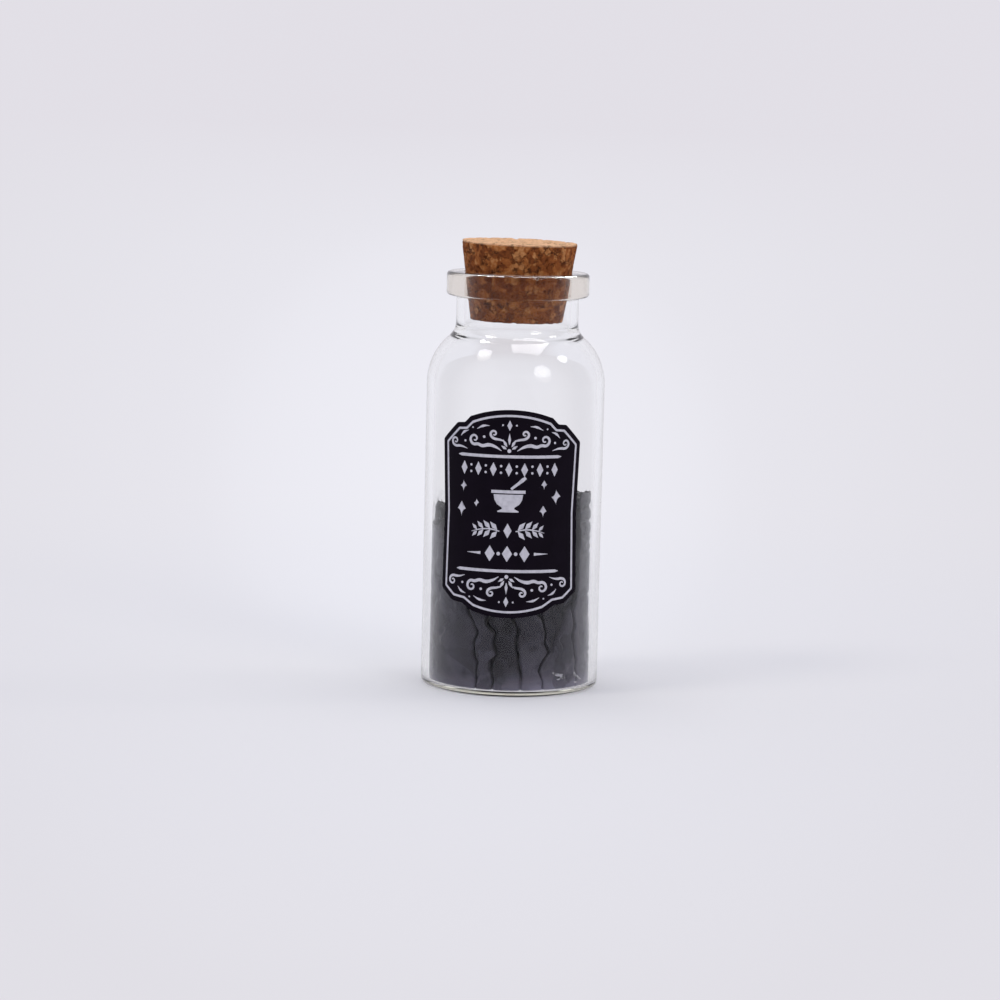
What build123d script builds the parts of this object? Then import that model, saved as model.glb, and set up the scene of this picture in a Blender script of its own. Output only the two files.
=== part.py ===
from build123d import *
import math
import os

# Corked glass vial with a black plaque label and a filling of crumpled dark sheet.
# Millimetres, +Z up. The origin is on the bottle's axis, in the plane it stands on,
# and the label faces -Y.

# Shared by every cut and every cutting shape, past the solid that it meets
overrun = 1.0

# Glass bottle
body_diameter = 30.0
bottle_height = 70.0
wall_thickness = 1.3
floor_thickness = 0.85
shoulder_radius = 10.2
bore_diameter = 18.0
neck_height = 6.05
lip_diameter = 24.0
lip_height = 4.0
heel_radius = 0.9
inner_heel_radius = 0.6
push_up_diameter = 21.0
push_up_depth = 0.3
neck_root_radius = 3.0
throat_radius = 2.0
lip_edge_radius = 0.6
lip_root_radius = 0.3
mouth_radius = 0.5

# Cork stopper, a tapered plug that wedges just inside the mouth
cork_height = 13.3
cork_proud_height = 5.15
cork_taper_angle = 8.55
cork_lean_angle = 1.1
cork_edge_radius = 0.25
cork_seat_gap = 0.1

# Label, a thin die-cut sticker round the front of the body
label_width = 25.5
label_height = 34.7
label_middle_height = 30.85
label_thickness = 0.1
label_glue_thickness = 0.03
label_side_offset = -0.6
label_corner_radius = 0.6

# Filling, torn scraps of dark sheet that stand round a crumpled core
filling_height = 33.45
filling_wall_gap = 0.15
filling_core_diameter = 12.4
filling_core_height = 25.5
filling_core_crown_radius = 2.4
crevice_width = 0.3

# The label's right-hand outline, as shares of half its width and half its height:
# the arch's end, the step's inner corner, its outer corner, the ear, the waist,
# the low ear, the low step's outer corner, its inner corner and the low arch's end
label_corner_shares = (
    (0.545, 0.930),
    (0.640, 0.862),
    (0.755, 0.855),
    (1.000, 0.683),
    (0.955, 0.000),
    (0.980, -0.755),
    (0.790, -0.865),
    (0.625, -0.880),
    (0.478, -0.950),
)

# Where each crevice between two scraps meets the glass, as a share of a full turn from
# -Y towards +X, and how far its inner end is turned from there
crevice_turn_shares = (
    (-0.244, 0.017),
    (-0.075, -0.014),
    (-0.036, 0.011),
    (0.014, -0.011),
    (0.070, 0.019),
    (0.156, -0.017),
    (0.278, 0.014),
    (0.394, -0.019),
    (0.517, 0.017),
    (0.633, -0.014),
)

# Each scrap's torn top edge, as shares of the filling's height at even steps across it
scrap_top_shares = (
    (0.84, 0.89, 0.82, 0.88, 0.81, 0.83, 0.79, 0.85),
    (0.83, 0.90, 0.86),
    (0.82, 0.88, 0.84, 0.89),
    (0.88, 0.95, 0.90, 0.93),
    (0.92, 0.89, 0.96, 0.93),
    (0.96, 1.00, 0.97, 0.99, 0.93),
    (0.88, 0.94, 0.90, 0.85),
    (0.86, 0.81, 0.89, 0.84),
    (0.85, 0.92, 0.88, 0.90),
    (0.90, 0.84, 0.87, 0.91, 0.86),
)

# Where a crevice turns, between the core and the glass
crevice_knee_share = 0.62

# Worked out from the sizes above
body_radius = body_diameter / 2
inner_radius = body_radius - wall_thickness
bore_radius = bore_diameter / 2
neck_radius = bore_radius + wall_thickness
lip_radius = lip_diameter / 2
lip_bottom = bottle_height - lip_height
neck_bottom = lip_bottom - neck_height
shoulder_centre_radius = body_radius - shoulder_radius
filling_radius = inner_radius - filling_wall_gap
filling_heel_radius = inner_heel_radius + filling_wall_gap
filling_core_radius = filling_core_diameter / 2
label_inner_radius = body_radius + label_glue_thickness
label_outer_radius = label_inner_radius + label_thickness


def shoulder_turn(arc_radius, end_radius):
    """How far the shoulder's arc turns from the body wall up to end_radius."""
    return math.acos((end_radius - shoulder_centre_radius) / arc_radius)


def shoulder_place(arc_radius, start_height, turn):
    """The place that the shoulder's arc has reached after a turn."""
    radius = shoulder_centre_radius + arc_radius * math.cos(turn)
    return radius, start_height + arc_radius * math.sin(turn)


def shoulder_arc(arc_radius, start_height, turn):
    """The shoulder's arc from the body wall up to the neck."""
    turns = (0, turn / 2, turn)
    return ThreePointArc(*(shoulder_place(arc_radius, start_height, reached) for reached in turns))


def rounded(face, corner, radius):
    """The face with the corner nearest to a place rounded."""
    nearest = face.vertices().sort_by_distance((*corner, 0))[0]
    return fillet(nearest, radius)


def turned(face):
    """The solid that a half profile, drawn as radius and height, turns about the axis."""
    return revolve(Plane.XZ * face, Axis.Z)


def glass_bottle():
    """The whole bottle: push-up, heel, straight body, shoulder, neck and flat lip."""
    outer_turn = shoulder_turn(shoulder_radius, neck_radius)
    body_top = neck_bottom - shoulder_radius * math.sin(outer_turn)
    inner_shoulder_radius = shoulder_radius - wall_thickness
    inner_turn = shoulder_turn(inner_shoulder_radius, bore_radius)
    throat_corner = shoulder_place(inner_shoulder_radius, body_top, inner_turn)
    outer_arc = shoulder_arc(shoulder_radius, body_top, outer_turn)
    inner_arc = shoulder_arc(inner_shoulder_radius, body_top, inner_turn)
    foot_radius = push_up_diameter / 2
    push_up_radius = (foot_radius**2 + push_up_depth**2) / (2 * push_up_depth)
    push_up = RadiusArc((0, push_up_depth), (foot_radius, 0), push_up_radius)
    outside = Polyline(
        (foot_radius, 0),
        (body_radius, 0),
        (body_radius, body_top),
    )
    neck_and_lip = Polyline(
        (neck_radius, neck_bottom),
        (neck_radius, lip_bottom),
        (lip_radius, lip_bottom),
        (lip_radius, bottle_height),
        (bore_radius, bottle_height),
        throat_corner,
    )
    inside = Polyline(
        (inner_radius, body_top),
        (inner_radius, floor_thickness),
        (0, floor_thickness),
        (0, push_up_depth),
    )
    profile = make_face(push_up + outside + outer_arc + neck_and_lip + inner_arc + inside)
    profile = rounded(profile, (body_radius, 0), heel_radius)
    profile = rounded(profile, (neck_radius, neck_bottom), neck_root_radius)
    profile = rounded(profile, (neck_radius, lip_bottom), lip_root_radius)
    profile = rounded(profile, (lip_radius, lip_bottom), lip_edge_radius)
    profile = rounded(profile, (lip_radius, bottle_height), lip_edge_radius)
    profile = rounded(profile, (bore_radius, bottle_height), mouth_radius)
    profile = rounded(profile, throat_corner, throat_radius)
    profile = rounded(profile, (inner_radius, floor_thickness), inner_heel_radius)
    return turned(profile)


def cork_stopper():
    """The tapered cork, which leans a little where it wedges in the mouth."""
    seat_height = bottle_height - mouth_radius
    top = bottle_height + cork_proud_height
    bottom = top - cork_height
    slope = math.tan(math.radians(cork_taper_angle))
    seat_radius = bore_radius - cork_seat_gap
    top_radius = seat_radius + (top - seat_height) * slope
    bottom_radius = seat_radius + (bottom - seat_height) * slope
    corners = [(0, bottom), (bottom_radius, bottom), (top_radius, top), (0, top)]
    profile = make_face(Polyline(corners, close=True))
    profile = rounded(profile, (bottom_radius, bottom), cork_edge_radius)
    profile = rounded(profile, (top_radius, top), cork_edge_radius)
    seat = Pos(0, 0, seat_height)
    return seat * Rotation(0, cork_lean_angle, 0) * seat.inverse() * turned(profile)


def label_point(share_across, share_up):
    """A point of the label's outline, as seen from the front, wrapped round the body."""
    along = label_side_offset + share_across * label_width / 2
    across = label_outer_radius * math.sin(along / label_outer_radius)
    return across, label_middle_height + share_up * label_height / 2


def label_face():
    """The plaque-shaped sticker, as a thin shell round the front of the body."""
    right = label_corner_shares
    left = [(-across, up) for across, up in reversed(right)]
    top_arch = ThreePointArc(label_point(*left[-1]), label_point(0, 1), label_point(*right[0]))
    right_side = Polyline([label_point(*corner) for corner in right])
    low_arch = ThreePointArc(label_point(*right[-1]), label_point(0, -1), label_point(*left[0]))
    left_side = Polyline([label_point(*corner) for corner in left])
    outline = make_face(top_arch + right_side + low_arch + left_side)
    outline = fillet(outline.vertices(), label_corner_radius)
    front = extrude(Plane.XZ * outline, label_outer_radius + overrun)
    ring = Circle(label_outer_radius) - Circle(label_inner_radius)
    return extrude(ring, bottle_height) & front


def filling_profile(radius, top):
    """The half profile of a round block that stands on the bottle's floor."""
    corners = [(0, floor_thickness), (radius, floor_thickness), (radius, top), (0, top)]
    return make_face(Polyline(corners, close=True))


def crevice_place(turn_share, radius, side):
    """A place on one side of a crevice, at a radius."""
    heading = turn_share * math.tau
    sideways = side * crevice_width / 2
    across = radius * math.sin(heading) + sideways * math.cos(heading)
    along = -radius * math.cos(heading) + sideways * math.sin(heading)
    return across, along


def crevice_side(crevice, side):
    """One side of a crevice, from the core outwards past the glass."""
    outer_share, inner_share = crevice
    knee_radius = filling_core_radius + crevice_knee_share * (filling_radius - filling_core_radius)
    return [
        crevice_place(outer_share + inner_share, filling_core_radius, side),
        crevice_place(outer_share, knee_radius, side),
        crevice_place(outer_share, body_diameter, side),
    ]


def filling_scrap(first_crevice, last_crevice, top_shares):
    """One torn scrap between two crevices, with its ragged top edge."""
    rise = filling_height + overrun
    profile = rounded(
        filling_profile(filling_radius, floor_thickness + rise),
        (filling_radius, floor_thickness),
        filling_heel_radius,
    )
    hollow = extrude(Circle(filling_core_radius + crevice_width), bottle_height)
    sides = crevice_side(first_crevice, 1) + crevice_side(last_crevice, -1)[::-1]
    wedge = extrude(make_face(Polyline(sides, close=True)), bottle_height)
    torn_block = torn_sheet(first_crevice[0], last_crevice[0], top_shares)
    return (turned(profile) - hollow) & wedge & torn_block


def torn_sheet(first_share, last_share, top_shares):
    """The upright block under a scrap's torn edge, square to the middle of the scrap."""
    middle = math.degrees((first_share + last_share) / 2 * math.tau)
    half_turn = (last_share - first_share) / 2 * math.tau
    half_width = filling_radius * math.sin(half_turn) + overrun
    steps = len(top_shares) - 1
    tear = [
        (half_width * (2 * step / steps - 1), floor_thickness + share * filling_height)
        for step, share in enumerate(top_shares)
    ]
    outline = make_face(Polyline([(-half_width, 0)] + tear + [(half_width, 0)], close=True))
    return Rotation(0, 0, middle) * extrude(Plane.XZ * outline, body_diameter)


def filling_core():
    """The crumpled wad in the middle, with a rounded crown."""
    top = floor_thickness + filling_core_height
    profile = rounded(
        filling_profile(filling_core_radius, top),
        (filling_core_radius, top),
        filling_core_crown_radius,
    )
    return turned(profile)


def all_pieces():
    """Every piece of the object, by its name."""
    pieces = {
        "glass_bottle": glass_bottle(),
        "cork_stopper": cork_stopper(),
        "label_face": label_face(),
        "filling_core": filling_core(),
    }
    first_share, inner_share = crevice_turn_shares[0]
    ends = crevice_turn_shares[1:] + ((first_share + 1, inner_share),)
    scraps = zip(crevice_turn_shares, ends, scrap_top_shares)
    for number, (first, last, shares) in enumerate(scraps, start=1):
        pieces[f"filling_scrap_{number:02d}"] = filling_scrap(first, last, shares)
    return pieces


os.makedirs("parts", exist_ok=True)
for name, piece in all_pieces().items():
    export_step(piece, f"parts/{name}.step")
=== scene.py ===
import math
import random

import bmesh
import bpy
from mathutils import Euler, Matrix, Vector, noise


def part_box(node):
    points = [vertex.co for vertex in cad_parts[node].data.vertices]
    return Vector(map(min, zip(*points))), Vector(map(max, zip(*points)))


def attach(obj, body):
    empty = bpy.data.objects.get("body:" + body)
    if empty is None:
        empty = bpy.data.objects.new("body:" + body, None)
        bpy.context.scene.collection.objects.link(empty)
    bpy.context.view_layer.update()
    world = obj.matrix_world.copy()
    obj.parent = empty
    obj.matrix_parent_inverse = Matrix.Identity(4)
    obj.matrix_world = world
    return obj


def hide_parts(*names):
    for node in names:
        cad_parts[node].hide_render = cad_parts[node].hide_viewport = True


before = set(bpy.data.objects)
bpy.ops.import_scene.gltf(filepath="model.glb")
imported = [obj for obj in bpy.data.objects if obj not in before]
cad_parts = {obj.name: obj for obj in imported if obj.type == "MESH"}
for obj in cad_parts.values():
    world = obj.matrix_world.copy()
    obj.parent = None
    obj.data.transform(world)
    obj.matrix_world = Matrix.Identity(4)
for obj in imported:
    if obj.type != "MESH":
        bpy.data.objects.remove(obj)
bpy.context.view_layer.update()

# Glass bottle
# One piece of clear soda glass, drawn from tube: a pushed-up foot, a rounded heel, a
# straight body, a rounded shoulder, a short neck and a thick flat lip, tinted a little warmer.

MM = 0.001
MERGE_DISTANCE = 0.0001
BODY_RADIUS = 15.0
BOTTLE_HEIGHT = 70.0
WALL = 1.3
FLOOR_TOP = 0.85
SHOULDER_RADIUS = 10.2
BORE_RADIUS = 9.0
NECK_BOTTOM = 59.95
LIP_BOTTOM = 66.0
LIP_RADIUS = 12.0
HEEL_RADIUS = 0.9
INNER_HEEL_RADIUS = 0.6
FOOT_RADIUS = 10.5
PUSH_UP = 0.3
PUSH_UP_STEPS = 8
NECK_ROOT_RADIUS = 3.0
THROAT_RADIUS = 2.0
LIP_EDGE_RADIUS = 0.6
MOUTH_RADIUS = 0.5
LIP_ROOT_RADIUS = 0.3
FILLET_STEPS = 8
SHOULDER_STEPS = 24
GLASS_STEPS = 256
LONGEST_STEP = 1.2
BODY_TINT = (0.972, 0.972, 0.976)
LIP_TINT = (0.82, 0.77, 0.73)
TINT_BLEND = 0.2
SHADOW_TINTS = ((0, (0.93, 0.93, 0.92)), (1, (0.55, 0.55, 0.57)))
SHADOW_BLEND = 0.35
DEPTH_TINT = (0.86, 0.8, 0.35)
DEPTH_DENSITY = 15.0

INNER_RADIUS = BODY_RADIUS - WALL
NECK_RADIUS = BORE_RADIUS + WALL
SHOULDER_CENTRE = BODY_RADIUS - SHOULDER_RADIUS
BODY_TOP = NECK_BOTTOM - math.sqrt(SHOULDER_RADIUS**2 - (NECK_RADIUS - SHOULDER_CENTRE) ** 2)


def arc(centre, radius, start, end, steps):
    """Points of an arc between two angles, both ends included."""
    angles = (start + (end - start) * step / steps for step in range(steps + 1))
    return [(centre[0] + radius * math.cos(a), centre[1] + radius * math.sin(a)) for a in angles]


def rounded(corners, steps=FILLET_STEPS, closed=False):
    """A path of (x, y, radius) corners as points, with each corner that has a radius rounded."""
    path = []
    for place, (x, y, radius) in enumerate(corners):
        here = Vector((x, y))
        if radius == 0 or (not closed and place in (0, len(corners) - 1)):
            path.append((x, y))
            continue
        back = (Vector(corners[place - 1][:2]) - here).normalized()
        ahead = (Vector(corners[(place + 1) % len(corners)][:2]) - here).normalized()
        half = back.angle(ahead) / 2
        centre = here + (back + ahead).normalized() * radius / math.sin(half)
        start = here + back * radius / math.tan(half) - centre
        turn = math.pi - 2 * half
        turn = turn if back.x * ahead.y - back.y * ahead.x < 0 else -turn
        first = math.atan2(start.y, start.x)
        path += arc(centre, radius, first, first + turn, steps)
    return path


def shoulder(radius, neck, root):
    """The shoulder's arc and the fillet that leads it into the neck, from the body up."""
    across = neck + root - SHOULDER_CENTRE
    rise = math.sqrt((radius + root) ** 2 - across**2)
    turn = math.atan2(rise, across)
    curve = arc((SHOULDER_CENTRE, BODY_TOP), radius, 0, turn, SHOULDER_STEPS)
    fillet = arc((neck + root, BODY_TOP + rise), root, math.pi + turn, math.pi, FILLET_STEPS)
    return curve + fillet[1:]


def chain(bm, points):
    """Vertices joined in a row, standing in the XZ plane, from points in millimetres."""
    verts = [bm.verts.new((x * MM, 0, z * MM)) for x, z in points]
    return [bm.edges.new(pair) for pair in zip(verts, verts[1:])]


def split_long(bm, edges, longest):
    """Splits every edge that is longer than a length in millimetres."""
    for edge in edges:
        cuts = int(edge.calc_length() / (longest * MM))
        if cuts:
            bmesh.ops.subdivide_edges(bm, edges=[edge], cuts=cuts)


def spin_round(bm, steps):
    """Spins everything in the mesh about the Z axis and closes the poles."""
    bmesh.ops.spin(
        bm,
        geom=bm.verts[:] + bm.edges[:],
        axis=(0, 0, 1),
        cent=(0, 0, 0),
        angle=math.tau,
        steps=steps,
        use_merge=True,
    )
    bmesh.ops.remove_doubles(bm, verts=bm.verts, dist=MERGE_DISTANCE * MM)
    bmesh.ops.recalc_face_normals(bm, faces=bm.faces)


def stood(bm, name):
    """An object in the scene that takes over a mesh."""
    mesh = bpy.data.meshes.new(name)
    bm.to_mesh(mesh)
    bm.free()
    piece = bpy.data.objects.new(name, mesh)
    bpy.context.scene.collection.objects.link(piece)
    return piece


def finished(bm, name, material, body="bottle", nodes=(), crisp=35):
    """A smooth piece from a mesh, crisp past an angle in degrees, riding on its body."""
    piece = stood(bm, name)
    piece.data.shade_smooth()
    piece.data.set_sharp_from_angle(angle=math.radians(crisp))
    piece.data.materials.append(material)
    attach(piece, body)
    if nodes:
        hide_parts(*nodes)
    return piece


def feed(tree, socket, value):
    """Links a node's output to a socket, or sets the socket's own number or colour."""
    if isinstance(value, bpy.types.NodeSocket):
        tree.links.new(value, socket)
    elif socket.type == "RGBA":
        socket.default_value = (*value, 1)
    else:
        socket.default_value = value


def add_node(tree, kind, inputs=(), **settings):
    """The outputs of a new shader node, with its settings made and its inputs fed."""
    node = tree.nodes.new("ShaderNode" + kind)
    for setting, value in settings.items():
        setattr(node, setting, value)
    for socket, value in dict(inputs).items():
        feed(tree, node.inputs[socket], value)
    return node.outputs


def new_material(name, values):
    """A material with some values of its shader set: the material, its nodes and its shader."""
    material = bpy.data.materials.new(name)
    material.use_nodes = True
    tree = material.node_tree
    shader = tree.nodes["Principled BSDF"]
    for socket, value in values.items():
        feed(tree, shader.inputs[socket], value)
    return material, tree, shader


def place_on_piece(tree):
    """Each place on a piece, in metres from the frame's origin."""
    return add_node(tree, "TexCoord")["Object"]


def axes_of(tree, place):
    """The X, Y and Z of a place."""
    return add_node(tree, "SeparateXYZ", {"Vector": place})


def ranged(tree, value, start, end, low=0.0, high=1.0, unit=1, eased=False):
    """A value that is low at the start of a range and high at its end, evenly or eased."""
    limits = {"From Min": start * unit, "From Max": end * unit, "To Min": low, "To Max": high}
    way = "SMOOTHSTEP" if eased else "LINEAR"
    return add_node(tree, "MapRange", {"Value": value, **limits}, interpolation_type=way)["Result"]


def toned(tree, value, stops):
    """The colour at a value on a ramp of (position, colour) stops."""
    node = tree.nodes.new("ShaderNodeValToRGB")
    elements = node.color_ramp.elements
    while len(elements) < len(stops):
        elements.new(0.5)
    for element, (position, colour) in zip(elements, stops):
        element.position = position
        element.color = (*colour, 1)
    feed(tree, node.inputs["Fac"], value)
    return node.outputs["Color"]


def mixed(tree, share, first, second):
    """One shader over another by a share."""
    return add_node(tree, "MixShader", {0: share, 1: first, 2: second})["Shader"]


clear_glass, tree, shader = new_material(
    "clear_glass",
    {"Roughness": 0.0, "IOR": 1.52, "Specular Tint": (0.2, 0.2, 0.2), "Transmission Weight": 1.0},
)
up = axes_of(tree, place_on_piece(tree))["Z"]
in_lip = ranged(tree, up, LIP_BOTTOM - TINT_BLEND, LIP_BOTTOM + TINT_BLEND, unit=MM)
feed(tree, shader.inputs["Base Color"], toned(tree, in_lip, ((0, BODY_TINT), (1, LIP_TINT))))
facing = add_node(tree, "LayerWeight", {"Blend": SHADOW_BLEND})["Facing"]
shadow_tint = toned(tree, facing, SHADOW_TINTS)
let_through = add_node(tree, "BsdfTransparent", {"Color": shadow_tint})["BSDF"]
in_shadow = add_node(tree, "LightPath")["Is Shadow Ray"]
surface = mixed(tree, in_shadow, shader.outputs["BSDF"], let_through)
olive_depth = add_node(tree, "VolumeAbsorption", {"Color": DEPTH_TINT, "Density": DEPTH_DENSITY})
output = tree.nodes["Material Output"]
feed(tree, output.inputs["Surface"], surface)
feed(tree, output.inputs["Volume"], olive_depth["Volume"])

push_up = [
    (FOOT_RADIUS * share, PUSH_UP * (1 - share**2))
    for share in (step / PUSH_UP_STEPS for step in range(PUSH_UP_STEPS))
]
outside = push_up + rounded(
    [
        (FOOT_RADIUS, 0, 0),
        (BODY_RADIUS, 0, HEEL_RADIUS),
        (BODY_RADIUS, BODY_TOP, 0),
    ]
)
lip = rounded(
    [
        (NECK_RADIUS, NECK_BOTTOM + NECK_ROOT_RADIUS, 0),
        (NECK_RADIUS, LIP_BOTTOM, LIP_ROOT_RADIUS),
        (LIP_RADIUS, LIP_BOTTOM, LIP_EDGE_RADIUS),
        (LIP_RADIUS, BOTTLE_HEIGHT, LIP_EDGE_RADIUS),
        (BORE_RADIUS, BOTTLE_HEIGHT, MOUTH_RADIUS),
        (BORE_RADIUS, NECK_BOTTOM + THROAT_RADIUS, 0),
    ]
)
inside = rounded(
    [
        (INNER_RADIUS, BODY_TOP, 0),
        (INNER_RADIUS, FLOOR_TOP, INNER_HEEL_RADIUS),
        (0, FLOOR_TOP, 0),
    ]
)
outer_shoulder = shoulder(SHOULDER_RADIUS, NECK_RADIUS, NECK_ROOT_RADIUS)
inner_shoulder = shoulder(SHOULDER_RADIUS - WALL, BORE_RADIUS, THROAT_RADIUS)[::-1]
bm = bmesh.new()
edges = chain(bm, outside[:-1] + outer_shoulder + lip[1:-1] + inner_shoulder + inside[1:])
split_long(bm, edges, LONGEST_STEP)
spin_round(bm, GLASS_STEPS)
bottle_glass = finished(bm, "bottle_glass", clear_glass, nodes=["glass_bottle"])

# Filling
# Torn scraps of thin dark sheet, crumpled and packed upright round a core. They press
# against the glass in flat patches, with dark creases and ragged crevices between them.

FILLING_LIMIT = INNER_RADIUS - 0.1
FILLING_FLOOR = FLOOR_TOP + 0.08
OUTER_FACE = 9
NEAR_GLASS = 0.4
NEAR_AXIS = 0.1
COPY_MERGE = 0.001
SCRAP_VOXEL = 0.26
VOXEL_SMOOTHING = (5, 0.5)
LAST_SMOOTHING = (2, 0.4)
CRUMPLE_SEED = 7
SHEET_CRISP = 50
LEFT_SCRAP = "filling_scrap_01"
RECESSED_SCRAP = "filling_scrap_03"
HOLLOW_SCRAP = "filling_scrap_04"
POCKET_SCRAP = "filling_scrap_05"

# Flat patches, creases, ripples and dents: sizes and depths, and the shares of a noise
# that they take in.
PATCH_SIZE = 4.2
PATCH_DEPTH = 0.22
PATCH_SQUASH = 0.55
PATCH_LEVELS = (0.45, 1.0)
BEND_SCALE = 0.35
BEND_REACH = 1.6
LEVEL_SEED = 31.7
CREASE_DEPTH = 0.3
CREASE_WIDTH = 0.035
CREASE_LEVELS = (0.25, 0.6)
RIPPLE_DEPTH = 0.1
RIPPLE_SCALE = 0.9
DENT_DEPTH = 0.3
DENT_SCALE = 0.5
DENT_LEVELS = (0.14, 0.42)
FIRM_FOOT = 1.2

# Torn side edges and tops. TEARS are (scale, depth) layers of noise.
EDGE_WIDTH = 0.2
EDGE_LEAST = 0.12
EDGE_DEPTH = 0.35
EDGE_GROWTH = 0.08
EDGE_CLOSED = 0.2
EDGE_TEARS = ((0.8, 1.1), (2.1, 1.2))
EDGE_OPENS = (2.5, 6)
POCKET_OPENS = (2.5, 8)
SOFT_SHARE = 0.35
SOFT_OPENS = (3, 8)
SOFT_SHRINKS = (4, 8)
SOFT_SHRINK = 0.55
TOP_DEPTH = (7, 2)
TOP_TEARS = ((0.55, 2.2), (1.5, 1.3))
TORN_LOW = 1.9
TORN_LEAST = 0.2

# Faces that stand back from the glass, which the sheet's colour also darkens with painted shade:
# the dark recess, the hollow and the pocket.
RECESS = 0.8
RECESS_LEAST = 0.3
RECESS_RISE = (1.5, 5.5)
HOLLOW = 0.55
HOLLOW_RISE = (5.5, 8.5)
POCKET_TURN = 29
POCKET_FOOT = 7.0
POCKET_SLOPES = (0.9, 0.31)
POCKET_EDGE = 0.35

# Each crevice at the front: how many degrees round it stands, then how many degrees it
# leads the scraps round at each height, as (height, lead) points.
CREVICES = (
    (-87.8, [(0, 0)]),
    (
        -27.0,
        [(2.5, 2.5), (4.5, 3.4), (5.7, 4.6), (6.6, 1.6), (8.9, 0.9), (10.7, 3.0)]
        + [(12.2, 1.6), (13.7, -3.2), (16, -5)],
    ),
    (
        -13.0,
        [(2.5, 1.6), (4.2, -0.4), (5.8, -1.8), (7.0, 4.6), (8.9, 0.6), (10.7, 2.4)]
        + [(12.0, -3.0), (14, -2.4), (16, -4)],
    ),
    (5.0, [(2.5, 4.6), (5.0, 2.4), (6.3, 0.0), (8.4, -1.6), (11.0, 0.8), (13.5, -2.0), (16, 0)]),
    (25.2, [(2.5, -1.0), (4.2, -5.0), (5.6, -3.4), (7.4, 2.6), (9.0, 0.6), (11.0, 1.0), (14, -3.4)]),
    (
        56.2,
        [(2.0, -3.6), (3.2, -3.0), (4.3, -5.4), (6.0, -4.0), (7.8, -7.2), (9.4, -8.6)]
        + [(11.6, -6.6), (14, -8.8), (18, -4)],
    ),
    (100.1, [(0, 0)]),
)
JOG_HEIGHT = 1.5
JOG_TURN = 0.044
JOG_OFFSET = 0.35
JOG_COLUMN = 1.6
JOG_SEED = 3.77
BACK_FROM = (80, 110)
BACK_SWAY = 0.14
SWAY_ROUND = 0.2
SWAY_UP = 0.17
STILL_CORE = 8
PRESSED_OUT = 0.2

# The torn right side. RIGHT_BITES are notches in it: height, depth and half height.
RIGHT_FROM = (52, 68)
RIGHT_TO = (110, 125)
RIGHT_BITES = (
    (31.0, 0.5, 0.8),
    (28.5, 0.45, 0.5),
    (26.2, 0.25, 0.4),
    (23.4, 0.3, 0.4),
    (16.0, 0.3, 0.5),
    (6.2, 0.3, 0.4),
)
RIGHT_LEAST = 0.1
RIGHT_DEEPER = 0.25
RIGHT_DEEPENS = (7, 14)
RIGHT_RAGGED = 0.35

# Thin torn strands along the top. LEFT_SPIKES are turn, radius, bottom, top and lean.
FRAYS = 5
FRAY_LENGTH = (0.8, 2.4)
FRAY_LEAN = 3
FRAY_ROOT = 0.5
FRAY_WIDTH = 0.34
FRAY_TIP = 0.04
FRAY_FLATNESS = 0.35
RIM_DEPTH = 6
RIM_SLOPE = 0.4
LEAN_ANGLE = 6
LEFT_SPIKES = (
    (-79, 12.9, 28.0, 30.9, 0.5),
    (-68, 12.6, 28.2, 30.5, -4.5),
    (-63, 12.2, 27.9, 29.6, 3.0),
)

# Tones of the sheet, and its painted light and shade: painted shade where it stands back from the
# glass and high on its right, and a painted glow at its foot, its underside and low on its right.
# Each goes from one place to another in millimetres, and from one share to another. CLOUDS and
# WRINKLES are a noise's scale, detail and distortion.
SHEET_TONES = ((0.34, (0.036, 0.034, 0.047)), (0.66, (0.067, 0.063, 0.087)))
FOLD_SHARE = 0.3
PAINTED_RECESS_SHADE = (FILLING_LIMIT - 1.0, FILLING_LIMIT - 0.05, 0.3, 1.0)
PAINTED_FOOT_GLOW = (FILLING_FLOOR, FILLING_FLOOR + 2.6, 2.2, 1.0)
PAINTED_UNDERSIDE_GLOW = (FILLING_FLOOR, FILLING_FLOOR + 0.4, 2.0, 1.0)
PAINTED_RIGHT_SIDE = (1.5, 4.5, 0.25, 1.0)
PAINTED_LOW_GLOW = (1.5, 8, 0.6, 0.0)
PAINTED_HIGH_SHADE = (14, 22, 0.0, -0.55)
SHEET_GLOSS = (0.35, 0.65, 0.38, 0.62)
CLOUDS = (210, 4)
FOLD_SCALE = 230
FOLD_BEND = 0.006
WRINKLES = (260, 2, 0.8)
WRINKLE_BUMP = (0.5, 0.00012)


def noise_on(tree, place, scale, detail, distortion=0.0):
    """A cloudy noise over a place."""
    values = {"Vector": place, "Scale": scale, "Detail": detail, "Distortion": distortion}
    return add_node(tree, "TexNoise", values)


def cells_on(tree, place, scale, feature="F1", **values):
    """A pattern of cells over a place, or of the seams between them."""
    values.update(Vector=place, Scale=scale)
    return add_node(tree, "TexVoronoi", values, feature=feature)


def channel(tree, colour, name):
    """One channel of a colour, such as a cell's own random red."""
    return add_node(tree, "SeparateColor", {"Color": colour})[name]


def worked_out(tree, operation, *values):
    """The result of a sum on numbers."""
    return add_node(tree, "Math", enumerate(values), operation=operation)["Value"]


def vector_result(tree, operation, *vectors):
    """The result of a sum on vectors: a number or a vector."""
    outputs = add_node(tree, "VectorMath", enumerate(vectors), operation=operation)
    return outputs["Value" if operation in ("LENGTH", "DISTANCE", "DOT_PRODUCT") else "Vector"]


def shaded(tree, colour, share):
    """A colour made darker or paler by a share."""
    return add_node(tree, "VectorMath", {"Scale": share, 0: colour}, operation="SCALE")["Vector"]


def bumped(tree, height, strength, distance):
    """A surface's normal, made rough by a pattern of heights."""
    values = {"Height": height, "Strength": strength, "Distance": distance}
    return add_node(tree, "Bump", values)["Normal"]


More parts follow.
